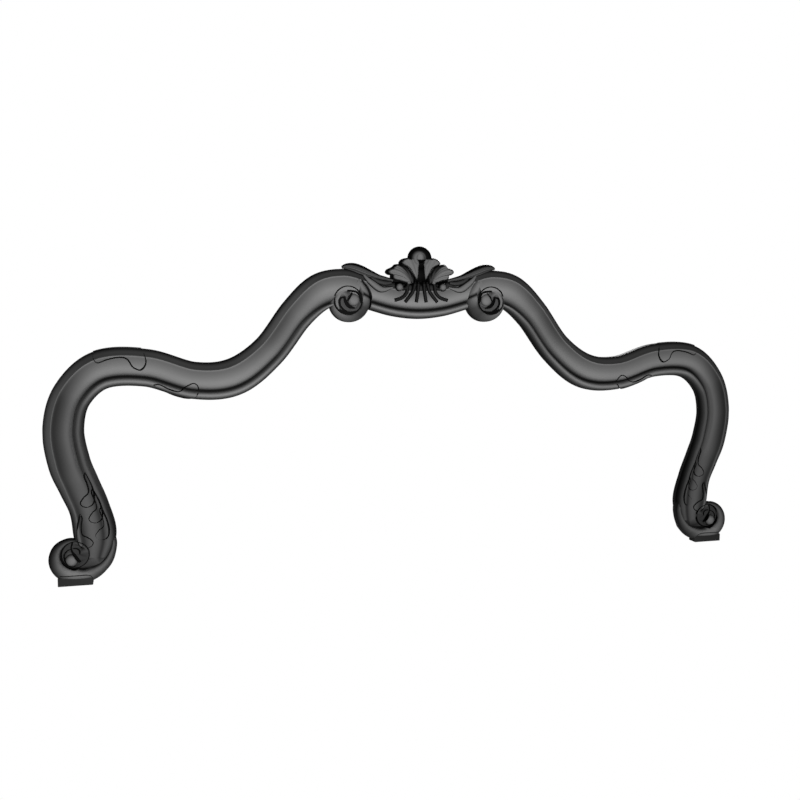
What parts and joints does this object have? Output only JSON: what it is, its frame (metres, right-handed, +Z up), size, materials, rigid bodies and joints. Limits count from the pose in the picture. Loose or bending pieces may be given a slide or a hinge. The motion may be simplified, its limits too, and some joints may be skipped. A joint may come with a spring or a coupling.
{
  "type": "carved sofa back crest frame",
  "caption": "Carved wooden crest frame for a sofa back: S-scroll rails with moulded profile and volutes, shell cartouche, leaf sprays and foot blocks.",
  "frame": {"origin": "on the flat back face, in the middle of the centre rail below the shell cartouche", "axes": "+X to the viewer's right along the frame, +Z up, the flat back faces +Y and the carving faces -Y"},
  "size_m": [1.601, 0.0443, 0.712],
  "materials": {
    "satin_rail": "satin charcoal grey stain and wax on close-grained hardwood",
    "satin_carving": "satin charcoal grey stain and wax, darker in the cuts",
    "block_end": "plain sawn and stained, duller than the carving"
  },
  "bodies": {
    "root": {"left_scroll_rail": "satin_rail", "right_scroll_rail": "satin_rail", "centre_rail": "satin_rail", "shell_cartouche": "satin_carving", "left_leaf_spray": "satin_carving", "right_leaf_spray": "satin_carving", "left_foot_block": "block_end", "right_foot_block": "block_end"}
  },
  "joints": []
}
